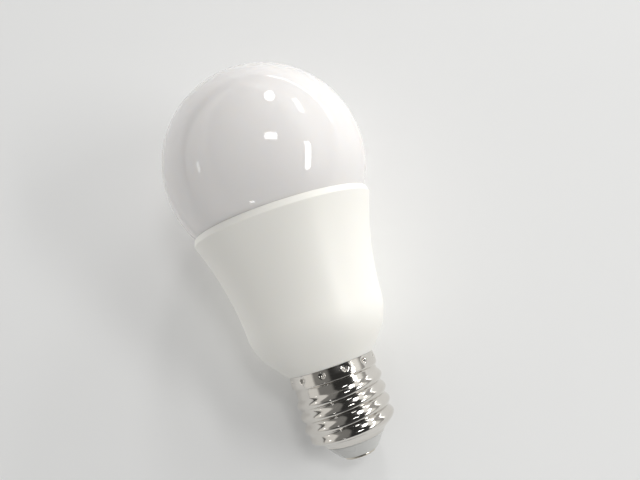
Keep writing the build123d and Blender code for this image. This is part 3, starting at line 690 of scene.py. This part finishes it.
def softbox(name, start, end, width, level, reflected=True, shape="RECTANGLE"):
    """A lamp that faces the globe and reaches from one direction to another, width degrees across.

    Each direction is (heading, height). Its watts are 4 x area x level.
    """
    first, last = toward(*start), toward(*end)
    facing = (first + last).normalized()
    length = (last - first).normalized()
    lamp = bpy.data.lights.new(name, "AREA")
    lamp.shape = shape
    lamp.size = 2 * light_distance * np.tan(np.radians(width) / 2)
    lamp.size_y = 2 * light_distance * np.tan(first.angle(last) / 2)
    lamp.energy = 4 * lamp.size * lamp.size_y * level
    box = bpy.data.objects.new(name, lamp)
    turned = Matrix((length.cross(facing), length, facing)).transposed().to_4x4()
    box.matrix_world = Matrix.Translation(light_centre + facing * light_distance) @ turned
    box.visible_glossy = reflected
    bpy.context.scene.collection.objects.link(box)


softbox("window_high", (54, 63), (37, 53), 8.5, 9.0, shape="ELLIPSE")
softbox("window_front", (9.5, 17.0), (22, 14.2), 7.5, 10.0)
softbox("strip_right", (51.6, 2.0), (46.9, -24.5), 6.5, 10.0)
softbox("strip_slanted", (69.0, 45.0), (62.6, 30.0), 5, 5.0)
softbox("strip_left", (-71, 17), (-71, 8), 3.5, 2.6)
softbox("lamp_below_left", (-36.5, -41.2), (-29.5, -42.3), 2.2, 7.0)
softbox("edge_upper", (122, 69), (100, 46), 2.4, 3.2)
softbox("edge_lower", (100, 46), (93, 16), 2.4, 3.2)
softbox("fill_right", (88, -8), (88, 48), 34, 2.1, reflected=False)
softbox("fill_back_left", (-140, 0), (-140, 50), 50, 1.6, reflected=False)
softbox("fill_back_right", (150, 0), (150, 50), 50, 1.6, reflected=False)

# %% World
room_level = 0.52
background_level = 0.80
world = bpy.data.worlds.new("studio")
bpy.context.scene.world = world
world.use_nodes = True
tree = world.node_tree
tree.nodes.clear()
view = tree.nodes.new("ShaderNodeTexCoord")
around = tree.nodes.new("ShaderNodeTexGradient")
around.gradient_type = "RADIAL"
panels = tree.nodes.new("ShaderNodeValToRGB")
# Level of the ring of panels by heading in degrees from the front, for reflections only.
ring = [(-180, 0.35), (-100, 0.10), (-80, 0.75), (-60, 0.75), (-54, 0.22), (-18, 0.20), (-10, 0.03),
        (43, 0.03), (52, 0.95), (70, 0.95), (78, 0.38), (106, 0.38), (120, 0.12), (180, 0.35)]
stops = panels.color_ramp.elements
while len(stops) < len(ring):
    stops.new(0.5)
turned = sorted((((heading - 90) / 360 + 0.5) % 1.0, level) for heading, level in ring)
for stop, (place_at, level) in zip(stops, turned):
    stop.position = place_at
    stop.color = (level, level * 0.985, level * 0.95, 1)
link(tree, view.outputs["Generated"], around.inputs["Vector"])
link(tree, around.outputs["Fac"], panels.inputs["Fac"])
# From below, where the floor and the table's edge would be, reflections go dark.
parts = tree.nodes.new("ShaderNodeSeparateXYZ")
rise = tree.nodes.new("ShaderNodeMapRange")
rise.inputs["From Min"].default_value = -0.8
rise.inputs["From Max"].default_value = -0.35
low = tree.nodes.new("ShaderNodeMix")
low.data_type = "RGBA"
low.inputs[6].default_value = (0.05, 0.05, 0.05, 1)
link(tree, view.outputs["Generated"], parts.inputs[0])
link(tree, parts.outputs["Z"], rise.inputs["Value"])
link(tree, rise.outputs["Result"], low.inputs["Factor"])
link(tree, panels.outputs["Color"], low.inputs[7])
ray = tree.nodes.new("ShaderNodeLightPath")
room = tree.nodes.new("ShaderNodeMix")
room.data_type = "RGBA"
room.inputs[6].default_value = (room_level, room_level, room_level, 1)
link(tree, ray.outputs["Is Glossy Ray"], room.inputs["Factor"])
link(tree, low.outputs[2], room.inputs[7])
seen = tree.nodes.new("ShaderNodeMix")
seen.data_type = "RGBA"
seen.inputs[7].default_value = (background_level, background_level, background_level, 1)
link(tree, ray.outputs["Is Camera Ray"], seen.inputs["Factor"])
link(tree, room.outputs[2], seen.inputs[6])
sky = tree.nodes.new("ShaderNodeBackground")
out = tree.nodes.new("ShaderNodeOutputWorld")
link(tree, seen.outputs[2], sky.inputs["Color"])
link(tree, sky.outputs[0], out.inputs["Surface"])
print(f"room at {room_level}, background at {background_level}, {len(ring)} stops in the ring")

# %% [markdown]
# ## Camera
# The bulb is looked at from above as it lies, so here from the side, a hand's breadth away. The camera is
# turned about its own axis, which makes the bulb slant across the frame.

# %% Camera
camera_away = 190.3
camera_up = 44.2
aim_x, aim_z = 8.5, 61.86
camera_roll = -18.65
lens_mm = 36.47
camera_at = Vector((0, -camera_away, camera_up)) * mm
ahead = (Vector((aim_x, 0, aim_z)) * mm - camera_at).normalized()
level_right = ahead.cross(Vector((0, 0, 1))).normalized()
level_up = level_right.cross(ahead)
roll = np.radians(camera_roll)
right = level_right * np.cos(roll) + level_up * np.sin(roll)
up = level_up * np.cos(roll) - level_right * np.sin(roll)
lens = bpy.data.cameras.new("camera")
lens.lens = lens_mm
lens.sensor_width = 36.0
lens.clip_start = 0.01
camera = bpy.data.objects.new("camera", lens)
camera.matrix_world = Matrix((right, up, -ahead)).transposed().to_4x4()
camera.location = camera_at
bpy.context.scene.collection.objects.link(camera)
bpy.context.scene.camera = camera
bpy.context.scene.view_settings.view_transform = "Standard"
print(f"camera {camera_away:.0f} mm from the axis, {lens_mm:.1f} mm lens")
